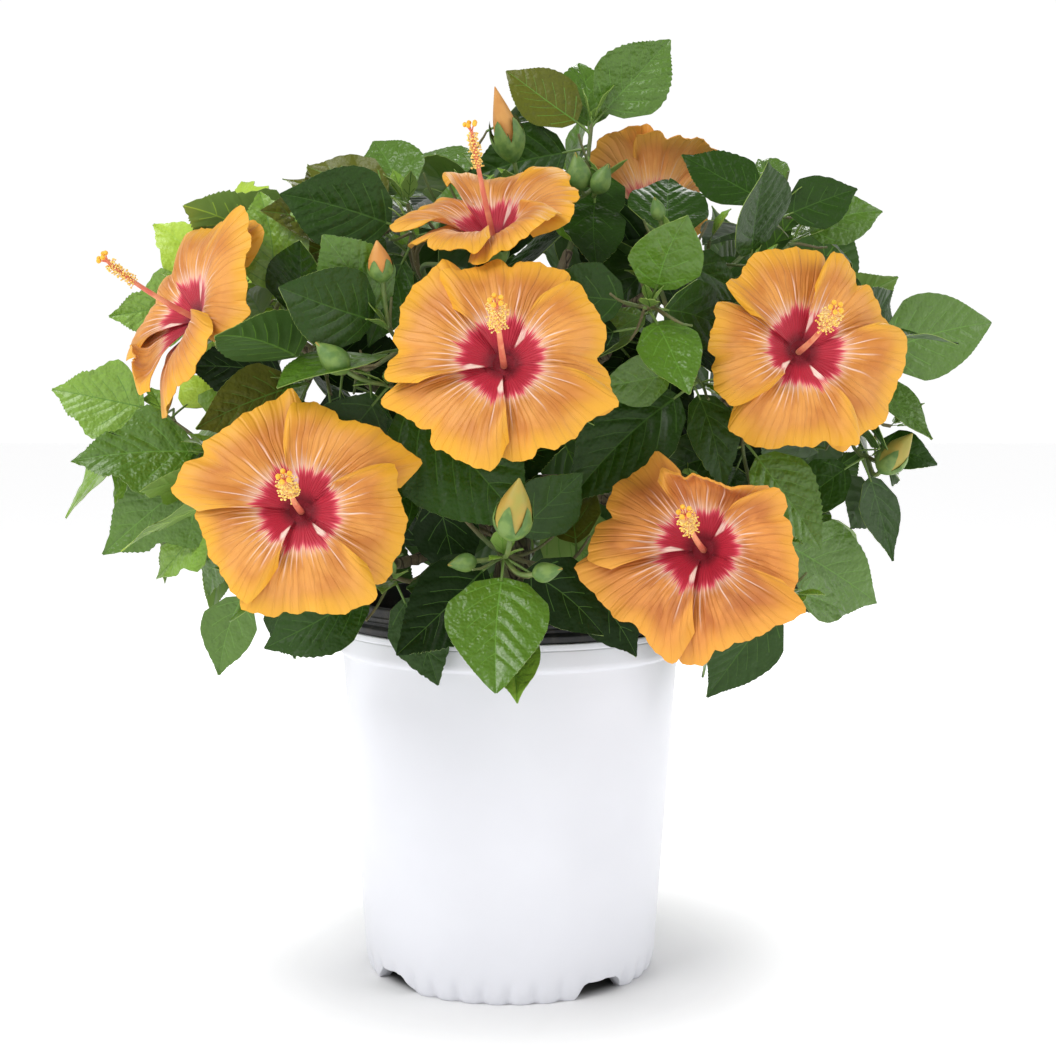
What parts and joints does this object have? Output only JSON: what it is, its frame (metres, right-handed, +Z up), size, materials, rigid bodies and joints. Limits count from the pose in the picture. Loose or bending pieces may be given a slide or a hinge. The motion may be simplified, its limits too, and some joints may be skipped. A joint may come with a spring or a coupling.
{
  "type": "potted hibiscus shrub",
  "caption": "Leafy flowering shrub on one short branching stem, with large open blooms, growing in a round plastic nursery pot.",
  "frame": {"origin": "centre of the pot's flat underside, on the surface that the pot stands on", "axes": "+Z up, -Y towards the front of the plant, +X to its right as seen from the front"},
  "size_m": [0.5995, 0.499, 0.5892],
  "materials": {
    "pot": "smooth white moulded plastic, satin",
    "liner": "black moulded plastic, slightly rough",
    "soil": "loose dark potting mix of bark and peat",
    "bark": "grey-brown bark with fine cracks, greener on young wood",
    "foliage": "glossy dark green leaves with paler veins on green twigs",
    "petals": "thin orange petals with yellow margins and a crimson eye"
  },
  "bodies": {
    "root": {"pot": "pot", "liner": "liner", "soil": "soil", "trunk": "bark", "bough_top": "bark", "bough_upper_left": "bark", "bough_left_high": "bark", "bough_left": "bark", "bough_left_low": "bark", "bough_front_left": "bark", "bough_front_low": "bark", "bough_front_low_left": "bark", "bough_right": "bark", "bough_right_low": "bark", "bough_upper_right": "bark", "bough_front_right": "bark", "bough_back_top": "bark", "bough_back_left": "bark", "bough_back_right": "bark", "bough_back_mid": "bark", "bough_back_low_left": "bark", "bough_back_low_right": "bark", "bough_back_low": "bark", "mass_top": "foliage", "mass_upper_left": "foliage", "mass_left_high": "foliage", "mass_left": "foliage", "mass_left_low": "foliage", "mass_front_left": "foliage", "mass_front_low": "foliage", "mass_front_low_left": "foliage", "mass_right": "foliage", "mass_right_low": "foliage", "mass_upper_right": "foliage", "mass_front_right": "foliage", "mass_back_top": "foliage", "mass_back_left": "foliage", "mass_back_right": "foliage", "mass_back_mid": "foliage", "mass_back_low_left": "foliage", "mass_back_low_right": "foliage", "mass_back_low": "foliage", "bloom_left": "petals", "bloom_front_left": "petals", "bloom_front": "petals", "bloom_right": "petals", "bloom_front_right": "petals", "bloom_upper": "petals", "bloom_top_back": "petals", "bloom_back_right": "petals", "bloom_back_left": "petals", "bloom_back": "petals"}
  },
  "joints": []
}
